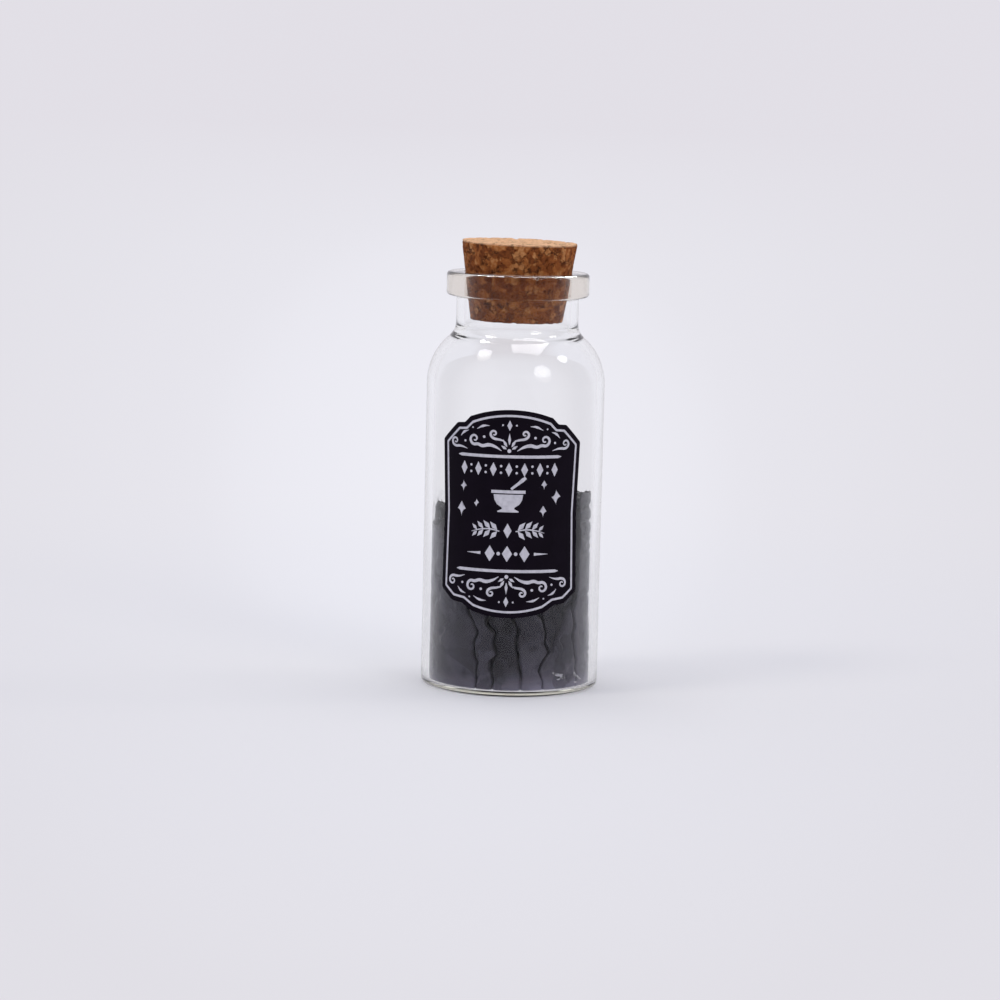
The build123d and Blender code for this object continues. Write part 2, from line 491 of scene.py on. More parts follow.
dark_sheet, tree, shader = new_material(
    "dark_sheet",
    {
        "Specular IOR Level": 0.15,
        "Sheen Weight": 0.12,
        "Sheen Roughness": 0.4,
        "Sheen Tint": (0.75, 0.78, 1.0),
    },
)
place = place_on_piece(tree)
clouds = noise_on(tree, place, *CLOUDS)
bent_place = vector_result(tree, "MULTIPLY_ADD", clouds["Color"], (FOLD_BEND,) * 3, place)
fold_pick = channel(tree, cells_on(tree, bent_place, FOLD_SCALE)["Color"], "Red")
cloud_part = worked_out(tree, "MULTIPLY", clouds["Fac"], 1 - FOLD_SHARE)
tone_mix = worked_out(tree, "MULTIPLY_ADD", fold_pick, FOLD_SHARE, cloud_part)
from_axis = vector_result(tree, "LENGTH", vector_result(tree, "MULTIPLY", place, (1, 1, 0)))
axes = axes_of(tree, place)
# Painted light and shade on the sheet's right side: a painted glow low down, painted shade high up.
right = ranged(tree, axes["X"], *PAINTED_RIGHT_SIDE, unit=MM)
painted_glow_low_down = ranged(tree, axes["Z"], *PAINTED_LOW_GLOW, unit=MM, eased=True)
painted_shade_high_up = ranged(tree, axes["Z"], *PAINTED_HIGH_SHADE, unit=MM)
painted_by_height = worked_out(tree, "ADD", painted_glow_low_down, painted_shade_high_up)
# Painted shade where the sheet stands back from the glass, and a painted glow at its foot and
# underside.
painted_light_and_shade = ranged(tree, from_axis, *PAINTED_RECESS_SHADE, unit=MM, eased=True)
for part in (
    ranged(tree, axes["Z"], *PAINTED_FOOT_GLOW, unit=MM),
    ranged(tree, axes["Z"], *PAINTED_UNDERSIDE_GLOW, unit=MM),
    worked_out(tree, "MULTIPLY_ADD", right, painted_by_height, 1.0),
):
    painted_light_and_shade = worked_out(tree, "MULTIPLY", painted_light_and_shade, part)
feed(tree, shader.inputs["Base Color"], shaded(tree, toned(tree, tone_mix, SHEET_TONES), painted_light_and_shade))
feed(tree, shader.inputs["Roughness"], ranged(tree, clouds["Fac"], *SHEET_GLOSS))
wrinkles = noise_on(tree, place, *WRINKLES)["Fac"]
feed(tree, shader.inputs["Normal"], bumped(tree, wrinkles, *WRINKLE_BUMP))


def smoothed(bm, times, factor):
    """Evens out a mesh, a few times over."""
    for _ in range(times):
        bmesh.ops.smooth_vert(
            bm, verts=bm.verts, factor=factor, use_axis_x=True, use_axis_y=True, use_axis_z=True
        )


def remeshed(node, voxel):
    """A copy of a CAD node's solid as one even mesh of small squares, in millimetres."""
    bm = bmesh.new()
    bm.from_mesh(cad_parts[node].data)
    bmesh.ops.remove_doubles(bm, verts=bm.verts, dist=COPY_MERGE * MM)
    copy = stood(bm, node + "_copy")
    modifier = copy.modifiers.new("even", "REMESH")
    modifier.mode = "VOXEL"
    modifier.voxel_size = voxel * MM
    bm = bmesh.new()
    bm.from_mesh(copy.evaluated_get(bpy.context.evaluated_depsgraph_get()).to_mesh())
    bmesh.ops.scale(bm, vec=(1 / MM,) * 3, verts=bm.verts)
    smoothed(bm, *VOXEL_SMOOTHING)
    bpy.data.objects.remove(copy)
    return bm


def ramp(value, start, end):
    """How far a value is on its way from start to end, eased, from 0 to 1."""
    share = min(max((value - start) / (end - start), 0), 1)
    return share * share * (3 - 2 * share)


def sunk(node, spot, radius):
    """How far a scrap's outer face stands back from the glass at a place."""
    if radius < OUTER_FACE:
        return 0
    if node == RECESSED_SCRAP:
        return RECESS * (RECESS_LEAST + (1 - RECESS_LEAST) * ramp(spot.z, *RECESS_RISE))
    if node == HOLLOW_SCRAP:
        return HOLLOW * ramp(spot.z, *HOLLOW_RISE)
    if node == POCKET_SCRAP:
        past = math.degrees(math.atan2(spot.x, -spot.y)) - POCKET_TURN
        edge = POCKET_FOOT + max(-past * POCKET_SLOPES[0], past * POCKET_SLOPES[1])
        return RECESS * ramp(spot.z, edge - POCKET_EDGE, edge + POCKET_EDGE)
    return 0


def turn_from(middle, spot):
    """How far round a place is from a heading, either way, in radians."""
    return (math.atan2(spot.x, -spot.y) - middle + math.pi) % math.tau - math.pi


def scrap_sides(node):
    """The heading of a scrap's middle, and how far it reaches to each side, in radians."""
    spots = [vert.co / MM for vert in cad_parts[node].data.vertices]
    outer = [spot for spot in spots if math.hypot(spot.x, spot.y) > FILLING_LIMIT - NEAR_GLASS]
    if not outer:
        return None
    middle = math.atan2(sum(spot.x for spot in outer), -sum(spot.y for spot in outer))
    turns = [turn_from(middle, spot) for spot in outer]
    return middle, min(turns), max(turns)


def tears(spot, shift, layers):
    """Layers of noise at a place, as (scale, depth) pairs, added up."""
    return sum(depth * noise.noise(spot * scale + shift) for scale, depth in layers)


def torn_edge(sides, spot, shift):
    """How far a scrap's ragged side edge stands back from the glass at a place."""
    middle, low, high = sides
    reach = turn_from(middle, spot)
    from_edge = min(reach - low, high - reach) * FILLING_LIMIT
    width = EDGE_WIDTH * (1 + tears(spot, shift, EDGE_TEARS))
    return EDGE_DEPTH * (1 - ramp(from_edge, 0, max(width, EDGE_LEAST)))


def edge_state(node, height):
    """How deep a scrap's side edge is torn at a height, as a share, and how far it spreads."""
    if node in (RECESSED_SCRAP, HOLLOW_SCRAP):
        shrunk = SOFT_SHRINK * ramp(height, *SOFT_SHRINKS)
        return SOFT_SHARE * ramp(height, *SOFT_OPENS), EDGE_GROWTH + EDGE_CLOSED * (1 - shrunk)
    open_share = ramp(height, *(POCKET_OPENS if node == POCKET_SCRAP else EDGE_OPENS))
    return open_share, EDGE_GROWTH + EDGE_CLOSED * (1 - open_share)


def crumple(bm, node, seed, top):
    """Folds a scrap: flat patches and creases on its sides, torn folds along its top."""
    sides = scrap_sides(node)
    shift = Vector((seed * 7.3, seed * 3.1, seed * 5.7))
    torn_low = TORN_LOW if node == LEFT_SCRAP else TORN_LEAST
    bm.normal_update()
    moves = []
    for vert in bm.verts:
        spot = vert.co
        radius = math.hypot(spot.x, spot.y)
        squashed = Vector((spot.x, spot.y, spot.z * PATCH_SQUASH))
        bent = squashed + noise.noise_vector(squashed * BEND_SCALE + shift) * BEND_REACH
        distances, cells = noise.voronoi(bent / PATCH_SIZE + shift)
        level = noise.cell(cells[0] * LEVEL_SEED)
        from_seam = distances[1] - distances[0]
        crease = math.exp(-from_seam / CREASE_WIDTH) * ramp(level, *CREASE_LEVELS)
        inward = PATCH_DEPTH * ramp(level, *PATCH_LEVELS) + CREASE_DEPTH * crease
        inward += abs(noise.noise(bent * RIPPLE_SCALE + shift)) * RIPPLE_DEPTH
        inward += DENT_DEPTH * ramp(noise.noise(spot * DENT_SCALE + shift * 0.7), *DENT_LEVELS)
        firm = ramp(spot.z, FILLING_FLOOR, FILLING_FLOOR + FIRM_FOOT)
        move = vert.normal * -inward * firm
        level_spot = Vector((spot.x, spot.y, 0))
        if radius > NEAR_AXIS:
            back = sunk(node, spot, radius)
            if sides and radius > OUTER_FACE:
                torn_share, growth = edge_state(node, spot.z)
                back += torn_edge(sides, spot, shift) * torn_share
                move += vert.normal * growth * (1 - abs(vert.normal.dot(spot.normalized())))
            move -= level_spot / radius * back * firm
        near_top = ramp(spot.z, top - TOP_DEPTH[0], top - TOP_DEPTH[1])
        move.z -= near_top * (abs(tears(level_spot, shift, TOP_TEARS)) + torn_low)
        moves.append(move)
    for vert, move in zip(bm.verts, moves):
        vert.co += move


def jog(turn, height):
    """A zigzag with straight runs, which goes another way on each side of the filling."""
    place = height / JOG_HEIGHT + JOG_OFFSET * math.sin(turn * 3)
    step = math.floor(place)
    column = Vector((math.cos(turn), math.sin(turn), 0)) * JOG_COLUMN
    ends = [noise.noise(column + Vector((0, 0, (step + side) * JOG_SEED))) for side in (0, 1)]
    return JOG_TURN * (ends[0] + (ends[1] - ends[0]) * (place - step))


def along(path, height):
    """The value at a height on a path of (height, value) points, level past its ends."""
    if height <= path[0][0]:
        return path[0][1]
    for (low, first), (high, last) in zip(path, path[1:]):
        if height <= high:
            return first + (last - first) * (height - low) / (high - low)
    return path[-1][1]


def crevice_shift(around, height):
    """How far the crevices at the front lead the scraps round at a place, in degrees."""
    for (first, path), (last, next_path) in zip(CREVICES, CREVICES[1:]):
        if first <= around <= last:
            share = (around - first) / (last - first)
            return along(path, height) * (1 - share) + along(next_path, height) * share
    return 0.0


def bitten(around, height):
    """How far the torn right side stands back from the glass, notched and a little ragged."""
    at_right = ramp(around, *RIGHT_FROM) * (1 - ramp(around, *RIGHT_TO))
    notches = sum(
        deep * max(1 - abs(height - middle) / reach, 0) for middle, deep, reach in RIGHT_BITES
    )
    ragged = max(noise.noise(Vector((around * 0.09, height * 1.1, 3))), 0) * RIGHT_RAGGED
    deeper = RIGHT_DEEPER * ramp(height, *RIGHT_DEEPENS)
    return at_right * (RIGHT_LEAST + deeper + notches + ragged)


def press_on_glass(bm):
    """Bends the crevices to and fro, and flattens what reaches the glass against it."""
    for vert in bm.verts:
        x, y, z = vert.co
        radius = math.hypot(x, y)
        turn = math.atan2(y, x)
        around = math.degrees(math.atan2(x, -y))
        sway = noise.noise(Vector((z * SWAY_UP, x * SWAY_ROUND, y * SWAY_ROUND))) * BACK_SWAY
        sway = sway * ramp(abs(around), *BACK_FROM) + jog(turn, z)
        sway += math.radians(crevice_shift(around, z))
        turn += sway * min(radius / STILL_CORE, 1)
        radius = min(radius + PRESSED_OUT, FILLING_LIMIT - bitten(around, z))
        vert.co = (radius * math.cos(turn), radius * math.sin(turn), max(z, FILLING_FLOOR))


def spike(bm, turn, radius, bottom, top, lean):
    """One thin torn strand that stands up by the glass, its turn counted from the front."""
    made = bmesh.ops.create_cone(
        bm, segments=6, radius1=FRAY_WIDTH, radius2=FRAY_TIP, depth=top - bottom, cap_ends=True
    )
    bmesh.ops.scale(bm, vec=(1, FRAY_FLATNESS, 1), verts=made["verts"])
    bmesh.ops.translate(bm, vec=(0, 0, (top - bottom) / 2), verts=made["verts"])
    tilt = Matrix.Rotation(math.radians(lean * LEAN_ANGLE), 4, "Y")
    out = Matrix.Rotation(math.radians(turn), 4, "Z") @ Matrix.Translation((0, -radius, bottom))
    bmesh.ops.transform(bm, matrix=out @ tilt, verts=made["verts"])


rng = random.Random(CRUMPLE_SEED)
noise.seed_set(CRUMPLE_SEED)
filling_nodes = sorted(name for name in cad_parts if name.startswith("filling"))
for seed, node in enumerate(filling_nodes, start=1):
    bm = remeshed(node, SCRAP_VOXEL)
    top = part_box(node)[1][2] / MM
    crumple(bm, node, seed, top)
    press_on_glass(bm)
    smoothed(bm, *LAST_SMOOTHING)
    rims = [v.co.copy() for v in bm.verts if v.normal.z > RIM_SLOPE and v.co.z > top - RIM_DEPTH]
    for _ in range(FRAYS if rims else 0):
        rim = rng.choice(rims)
        around = math.degrees(math.atan2(rim.x, -rim.y))
        length = rng.uniform(*FRAY_LENGTH)
        lean = rng.uniform(-FRAY_LEAN, FRAY_LEAN)
        reach = min(math.hypot(rim.x, rim.y), FILLING_LIMIT - NEAR_GLASS)
        root = rim.z - FRAY_ROOT
        spike(bm, around, reach, root, min(root + length, top), lean)
    if node == LEFT_SCRAP:
        for values in LEFT_SPIKES:
            spike(bm, *values)
    bmesh.ops.scale(bm, vec=(MM,) * 3, verts=bm.verts)
    name = node.replace("filling", "sheet")
    finished(bm, name, dark_sheet, nodes=[node], crisp=SHEET_CRISP)

# Slivers
# Thin curled shavings, pale grey-lilac and finely streaked. They lie between the scraps and
# the glass near the bottom.

SLIVER_THICKNESS = 0.05
SLIVER_TAPER = 0.75
SLIVER_BEND = 0.12
SLIVER_CURL = 0.1
SLIVER_CRISP = 60

# Each sliver's turn from the front, height, length, width and tilt.
SLIVERS = (
    (34.6, 3.55, 2.3, 0.5, -14),
    (38.6, 3.1, 1.3, 0.5, -30),
    (36.0, 2.75, 0.9, 0.25, 8),
    (50.5, 3.2, 1.2, 0.5, -48),
    (54.6, 2.55, 1.4, 0.45, -36),
    (52.0, 1.9, 0.8, 0.25, 5),
)
STREAKS = (1300, 3)
SLIVER_TONES = ((0.4, (0.06, 0.058, 0.075)), (0.58, (0.5, 0.49, 0.57)))

pale_sliver, tree, shader = new_material(
    "pale_sliver", {"Roughness": 0.35, "Specular IOR Level": 0.5}
)
streaks = noise_on(tree, place_on_piece(tree), *STREAKS)
feed(tree, shader.inputs["Base Color"], toned(tree, streaks["Fac"], SLIVER_TONES))

bm = bmesh.new()
for turn, height, length, width, tilt in SLIVERS:
    made = bmesh.ops.create_grid(bm, x_segments=10, y_segments=4, size=0.5)
    lean = math.radians(tilt)
    for vert in made["verts"]:
        far, wide = vert.co.x * 2, vert.co.y * 2
        x = far * length / 2
        y = wide * width / 2 * (1 - SLIVER_TAPER * far * far) + SLIVER_BEND * length * far * far
        out = FILLING_LIMIT + SLIVER_THICKNESS - SLIVER_CURL * (1 - wide * wide) * (1 - far * far)
        around = math.radians(turn) + (x * math.cos(lean) - y * math.sin(lean)) / out
        rise = height + x * math.sin(lean) + y * math.cos(lean)
        vert.co = (out * math.sin(around), -out * math.cos(around), rise)
bmesh.ops.recalc_face_normals(bm, faces=bm.faces)
bmesh.ops.solidify(bm, geom=bm.faces[:], thickness=-SLIVER_THICKNESS)
bmesh.ops.recalc_face_normals(bm, faces=bm.faces)
bmesh.ops.scale(bm, vec=(MM,) * 3, verts=bm.verts)
finished(bm, "sheet_slivers", pale_sliver, crisp=SLIVER_CRISP)

# Label
# A die-cut sticker of black satin vinyl, wrapped round the front of the body. Its outline
# is a plaque with an arched top and foot and stepped corners.

LABEL_INNER = 15.03
LABEL_THICKNESS = 0.1
LABEL_OUTER = LABEL_INNER + LABEL_THICKNESS
LABEL_MIDDLE = 30.85
LABEL_OFFSET = -0.6
LABEL_HALF_WIDTH = 12.75
LABEL_HALF_HEIGHT = 17.35
LABEL_CORNER = 0.6
CORNER_STEPS = 5
ARCH_STEPS = 24
INK_GAP = 0.004
INK_THICKNESS = 0.012
INK_STEP = 0.0012
KEYLINE_INSET = 0.8
KEYLINE_WIDTH = 0.36
KEYLINE_CORNER = 0.3
BEND_STEP = 0.4
CORNER_SHARES = (
    (0.545, 0.930),
    (0.640, 0.862),
    (0.755, 0.855),
    (1.000, 0.683),
    (0.955, 0.000),
    (0.980, -0.755),
    (0.790, -0.865),
    (0.625, -0.880),
    (0.478, -0.950),
)
SCUFFS = (420, 5)
VINYL_TONES = ((0.3, (0.0042, 0.0022, 0.0058)), (0.8, (0.0066, 0.0038, 0.009)))
VINYL_GLOSS = (0, 1, 0.4, 0.58)
BLOTCHES = (1500, 3)
INK_TONES = ((0.3, (0.5, 0.49, 0.56)), (0.6, (0.62, 0.605, 0.68)))

black_vinyl, tree, shader = new_material("black_vinyl", {"Specular IOR Level": 0.05})
scuffs = noise_on(tree, place_on_piece(tree), *SCUFFS)
feed(tree, shader.inputs["Base Color"], toned(tree, scuffs["Fac"], VINYL_TONES))
feed(tree, shader.inputs["Roughness"], ranged(tree, scuffs["Fac"], *VINYL_GLOSS))

pale_ink, tree, shader = new_material("pale_ink", {"Roughness": 0.55, "Specular IOR Level": 0.2})
blotches = noise_on(tree, place_on_piece(tree), *BLOTCHES)
feed(tree, shader.inputs["Base Color"], toned(tree, blotches["Fac"], INK_TONES))


def arch_points(left, peak, right):
    """Points of the arc through three places, without its two ends."""
    rise = peak[1] - (left[1] + right[1]) / 2
    half = (right[0] - left[0]) / 2
    radius = (half**2 + rise**2) / (2 * rise)
    spread = math.asin(half / abs(radius))
    turns = (spread * (2 * step / ARCH_STEPS - 1) for step in range(1, ARCH_STEPS))
    return [
        (peak[0] + abs(radius) * math.sin(turn), peak[1] - radius * (1 - math.cos(turn)))
        for turn in turns
    ]


def plaque(inset, corner):
    """The label's outline as points, clockwise from the top arch, moved in by an inset."""
    right = [(x * LABEL_HALF_WIDTH, y * LABEL_HALF_HEIGHT) for x, y in CORNER_SHARES]
    corners = right + [(-x, y) for x, y in reversed(right)]
    moved = []
    for place, here in enumerate(corners):
        before, after = corners[place - 1], corners[(place + 1) % len(corners)]
        come = (Vector(here) - Vector(before)).normalized()
        go = (Vector(after) - Vector(here)).normalized()
        side = Vector((come.y, -come.x)) + Vector((go.y, -go.x))
        side = side.normalized() / max(math.cos(come.angle(go) / 2), 0.5)
        moved.append(Vector(here) + side * inset)
    path = rounded([(p.x, p.y, corner) for p in moved], steps=CORNER_STEPS, closed=True)
    turn = len(path) // 2
    top = arch_points(path[-1], (0, LABEL_HALF_HEIGHT - inset), path[0])
    bottom = arch_points(path[turn], (0, inset - LABEL_HALF_HEIGHT), path[turn - 1])
    return path[:turn] + bottom[::-1] + path[turn:] + top


def flat_ring(bm, outer, inner):
    """A flat band between two closed outlines with as many points each."""
    loops = []
    for outline in (outer, inner):
        verts = [bm.verts.new((x, y, 0)) for x, y in outline]
        loops += [bm.edges.new((verts[i - 1], verts[i])) for i in range(len(verts))]
    bmesh.ops.bridge_loops(bm, edges=loops)


def bend_round(bm, radius, thickness):
    """Cuts a flat sheet into upright strips, wraps it round the body and gives it thickness."""
    reach = int(LABEL_HALF_WIDTH / BEND_STEP) + 2
    for step in range(-reach, reach + 1):
        bmesh.ops.bisect_plane(
            bm,
            geom=bm.verts[:] + bm.edges[:] + bm.faces[:],
            plane_co=(step * BEND_STEP, 0, 0),
            plane_no=(1, 0, 0),
            dist=MERGE_DISTANCE,
        )
    bmesh.ops.recalc_face_normals(bm, faces=bm.faces)
    for vert in bm.verts:
        turn = (vert.co.x + LABEL_OFFSET) / LABEL_OUTER
        height = vert.co.y + LABEL_MIDDLE
        vert.co = (radius * math.sin(turn), -radius * math.cos(turn), height)
    made = bmesh.ops.extrude_face_region(bm, geom=bm.faces[:])
    scale = (radius + thickness) / radius
    for vert in (item for item in made["geom"] if isinstance(item, bmesh.types.BMVert)):
        vert.co.x *= scale
        vert.co.y *= scale
    bmesh.ops.recalc_face_normals(bm, faces=bm.faces)
    bmesh.ops.scale(bm, vec=(MM,) * 3, verts=bm.verts)


def inked(bm, name, layer):
    """Wraps a flat print round the label, a hair above the layers printed before it."""
    bend_round(bm, LABEL_OUTER + INK_GAP + layer * INK_STEP, INK_THICKNESS)
    finished(bm, name, pale_ink)


bm = bmesh.new()
bm.faces.new([bm.verts.new((x, y, 0)) for x, y in plaque(0, LABEL_CORNER)])
bend_round(bm, LABEL_INNER, LABEL_THICKNESS)
finished(bm, "label_sticker", black_vinyl, nodes=["label_face"])

bm = bmesh.new()
keyline_inner = KEYLINE_INSET + KEYLINE_WIDTH
flat_ring(bm, plaque(KEYLINE_INSET, KEYLINE_CORNER), plaque(keyline_inner, KEYLINE_CORNER))
inked(bm, "label_keyline", 0)

# Label's print
# Pale ink on the black sticker: two rules, scrolls with volutes and a palmette, rows of
# lozenges, a leafy garland, and a mortar with its pestle among four-pointed sparkles.

RULE_WIDTH = 0.5
RULE_ENDS = 0.08
UPPER_RULE = 9.6
LOWER_RULE = -9.5
PRINT_MIDDLE = -0.25
ROW_OF_LOZENGES = 7.45
LOZENGE_PITCH = 2.6
LOZENGE_DOTS = (-0.55, 0.55)
ROW_OF_LEAVES = -2.75
LEAF_ANGLE = math.radians(48)
LEAF_LENGTH = 1.7
SHORT_ROW = -6.6
SHORT_PITCH = 2.9
MORTAR_FOOT = 0.35

# Each sparkle's place and height, and the left half of the mortar's outline from its rim.
SPARKLES = (
    (-7.9, 4.4, 2.0),
    (-5.4, 1.7, 1.5),
    (-8.2, 0.5, 2.6),
    (6.0, 4.9, 1.6),
    (8.2, 2.9, 2.7),
    (5.9, 0.5, 2.0),
)
MORTAR = (
    (-2.45, 2.95),
    (-2.3, 2.05),
    (-1.85, 1.3),
    (-1.1, 0.82),
    (-1.0, 0.55),
    (-1.75, 0.2),
    (-1.75, 0.0),
)


def ribbon(bm, path, widths):
    """A flat ink stroke through points, with a width at each of them."""
    curve = bpy.data.curves.new("ribbon", "CURVE")
    curve.dimensions = "3D"
    curve.twist_mode = "Z_UP"
    curve.extrude = 0.5
    curve.resolution_u = 6
    spline = curve.splines.new("BEZIER")
    spline.bezier_points.add(len(path) - 1)
    for point, (x, y), width in zip(spline.bezier_points, path, widths):
        point.co = (x, y, 0)
        point.radius = width
        point.tilt = math.pi / 2
        point.handle_left_type = point.handle_right_type = "AUTO"
    holder = bpy.data.objects.new("ribbon", curve)
    bpy.context.scene.collection.objects.link(holder)
    drawn = holder.evaluated_get(bpy.context.evaluated_depsgraph_get())
    bm.from_mesh(bpy.data.meshes.new_from_object(drawn))
    bpy.data.objects.remove(holder)


def centred(bm, path, widths, base=0, side=1):
    """An ink stroke drawn from the print's middle line and a base line, or its mirror image."""
    ribbon(bm, [(PRINT_MIDDLE + side * x, base + y) for x, y in path], widths)


def blot(bm, x, y, width, height, corners=12, pinch=1.0):
    """A small filled shape: a dot, a lozenge, or a sparkle where its sides are pinched in."""
    verts = []
    for step in range(corners):
        angle = math.tau * step / corners
        across = math.copysign(abs(math.cos(angle)) ** pinch, math.cos(angle)) * width / 2
        up = math.copysign(abs(math.sin(angle)) ** pinch, math.sin(angle)) * height / 2
        verts.append(bm.verts.new((PRINT_MIDDLE + x + across, y + up, 0)))
    bmesh.ops.triangulate(bm, faces=[bm.faces.new(verts)])


def volute(centre, radii, start, turns, steps=9):
    """Points that wind in towards a centre, from an outer radius to an inner one."""
    shares = [step / steps for step in range(steps + 1)]
    radius = [radii[0] + (radii[1] - radii[0]) * share**0.8 for share in shares]
    angles = [math.radians(start) + math.tau * turns * share for share in shares]
    return [
        (centre[0] + r * math.cos(a), centre[1] + r * math.sin(a)) for r, a in zip(radius, angles)
    ]


def flourish(bm, base, sign, side):
    """One half of the scrollwork that fills the label's top, or its foot upside down."""

    def stroke(path, widths):
        """One stroke of this half."""
        centred(bm, [(x, sign * y) for x, y in path], widths, base, side)

    def scroll(path, widths, curl, width, narrowing):
        """A stroke that ends in a volute and narrows as it winds in."""
        stroke(path + curl, widths + [width - narrowing * step for step in range(len(curl))])

    def dot(x, y, width):
        """A small dot of this half."""
        blot(bm, side * x, base + sign * y, width, width)

    main_curl = volute((6.0, 2.75), (1.05, 0.2), -125, 1.2)
    main_path = [(1.3, 0.95), (2.4, 1.6), (3.5, 1.85), (4.6, 1.65)]
    scroll(main_path, [0.1, 0.44, 0.6, 0.52], main_curl, 0.5, 0.034)
    small_curl = volute((2.6, 3.75), (0.72, 0.15), -75, 1.1, steps=7)
    scroll([(0.8, 2.5), (1.5, 2.75)], [0.08, 0.36], small_curl, 0.44, 0.036)
    outer_curl = volute((9.75, 2.15), (0.82, 0.16), -95, 1.2)
    scroll([(7.3, 1.0), (8.3, 1.3), (9.0, 1.35)], [0.06, 0.3, 0.42], outer_curl, 0.42, 0.03)
    stroke([(7.1, 4.1), (8.0, 3.75), (8.65, 3.05)], [0.06, 0.42, 0.06])
    stroke([(3.4, 5.05), (4.5, 4.95), (5.6, 4.4)], [0.06, 0.42, 0.06])
    dot(4.3, 3.15, 0.46)
    dot(7.75, 2.3, 0.4)
    dot(1.15, 5.2, 0.32)
    dot(6.35, 4.6, 0.3)


def palmette(bm, base, sign):
    """A fan of five leaves on the middle line of the scrollwork, with a lozenge over it."""
    root = 0.95
    for lean, length in ((-58, 1.6), (-30, 2.2), (0, 2.9), (30, 2.2), (58, 1.6)):
        angle = math.radians(lean)
        reaches = [length * share for share in (0.35, 0.62, 1.0)]
        path = [(r * math.sin(angle), sign * (root + r * math.cos(angle))) for r in reaches]
        centred(bm, path, [0.1, 0.5, 0.04], base)
    blot(bm, 0, base + sign * root, 0.66, 0.66)
    blot(bm, 0, base + sign * 5.15, 0.85, 1.75, corners=4)


def garland(bm, side):
    """One half of a leafy branch, bending out from the middle of the label."""
    stem = [(1.35, -0.1), (2.9, 0.22), (4.6, 0.1), (6.2, -0.35)]
    centred(bm, stem, [0.16, 0.24, 0.2, 0.08], ROW_OF_LEAVES, side)
    for x, y, length in ((1.75, 0.0, 1.75), (2.95, 0.2, 1.7), (4.15, 0.15, 1.5), (5.25, -0.1, 1.2)):
        for up in (-1, 1):
            path = [
                (x + reach * math.cos(LEAF_ANGLE), y + up * (0.14 + reach * math.sin(LEAF_ANGLE)))
                for reach in (0.0, length * 0.45, length)
            ]
            widths = [0.12, 0.78 * length / LEAF_LENGTH, 0.03]
            centred(bm, path, widths, ROW_OF_LEAVES, side)


bm = bmesh.new()
for height, reach in ((UPPER_RULE, 9.0), (LOWER_RULE, 8.9)):
    path = [(share * reach, 0) for share in (-1, -0.93, 0, 0.93, 1)]
    centred(bm, path, [RULE_ENDS, RULE_WIDTH, RULE_WIDTH, RULE_WIDTH, RULE_ENDS], height)
inked(bm, "label_rules", 1)

for place, base, sign in (("top", UPPER_RULE, 1), ("foot", LOWER_RULE, -1)):
    for side, part in ((-1, "left"), (1, "right")):
        bm = bmesh.new()
        flourish(bm, base, sign, side)
        inked(bm, f"label_scrolls_{place}_{part}", 2)
    bm = bmesh.new()
    palmette(bm, base, sign)
    inked(bm, f"label_scrolls_{place}_palmette", 3)

bm = bmesh.new()
for step in range(-3, 4):
    blot(bm, step * LOZENGE_PITCH, ROW_OF_LOZENGES, 1.15, 2.3, corners=4)
    if step < 3:
        for up in LOZENGE_DOTS:
            blot(bm, (step + 0.5) * LOZENGE_PITCH, ROW_OF_LOZENGES + up, 0.42, 0.42)
blot(bm, 0, ROW_OF_LEAVES, 1.35, 2.5, corners=4)
for step in range(-1, 2):
    blot(bm, step * SHORT_PITCH, SHORT_ROW, 1.7, 2.7, corners=4)
    if step < 1:
        blot(bm, (step + 0.5) * SHORT_PITCH, SHORT_ROW, 0.62, 0.62)
for side in (-1, 1):
    centred(bm, [(4.5, 0), (5.4, 0), (6.9, 0)], [0.5, 0.32, 0.06], SHORT_ROW, side)
inked(bm, "label_rows", 1)

for side, part in ((-1, "left"), (1, "right")):
    bm = bmesh.new()
    garland(bm, side)
    inked(bm, "label_garland_" + part, 2)

bm = bmesh.new()
for x, y, size in SPARKLES:
    blot(bm, x, y, size * 0.62, size, corners=32, pinch=3.6)
inked(bm, "label_sparkles", 1)

bm = bmesh.new()
outline = list(MORTAR) + [(-x, y) for x, y in reversed(MORTAR)]
face = bm.faces.new([bm.verts.new((PRINT_MIDDLE + x, MORTAR_FOOT + y, 0)) for x, y in outline])
bmesh.ops.triangulate(bm, faces=[face])
centred(bm, [(-2.85, 3.4), (0, 3.4), (2.85, 3.4)], [0.52, 0.52, 0.52], MORTAR_FOOT)
pestle = [(0.45, 3.85), (1.5, 4.7), (2.3, 5.35), (2.85, 5.8)]
centred(bm, pestle, [0.42, 0.46, 0.62, 0.5], MORTAR_FOOT)
inked(bm, "label_mortar", 1)

# Cork stopper
# A tapered plug cut from pressed cork granules. It wedges just inside the mouth, leaning
# a little, and its sides show dark grains, pits and paler granules.

CORK_HEIGHT = 13.3
CORK_TOP = BOTTLE_HEIGHT + 5.15
CORK_BOTTOM = CORK_TOP - CORK_HEIGHT
CORK_SEAT = BOTTLE_HEIGHT - MOUTH_RADIUS
CORK_SEAT_RADIUS = BORE_RADIUS - 0.1
CORK_SLOPE = math.tan(math.radians(8.55))
CORK_LEAN = math.radians(1.1)
CORK_EDGE = 0.25
EDGE_STEPS = 4
CORK_STEPS = 256
CORK_STEP = 0.24
CORK_TONES = (
    (0.1, (0.125, 0.032, 0.008)),
    (0.4, (0.255, 0.074, 0.019)),
    (0.65, (0.35, 0.118, 0.032)),
    (0.95, (0.51, 0.235, 0.092)),
)
DARK_GRAIN = (0.085, 0.026, 0.008)
TOP_TONE = (0.8, 0.48, 0.29)
TOP_GRAIN = (0.42, 0.26, 0.16)
TOP_SKIN = (-0.45, -0.15)
GRANULE_SCALE = 900
GRANULE_SOFTNESS = 0.35
FLECK_SCALE = 2600
STIR = (1400, 4)
STIR_REACH = 0.0009
MOTTLE = (2200, 5)
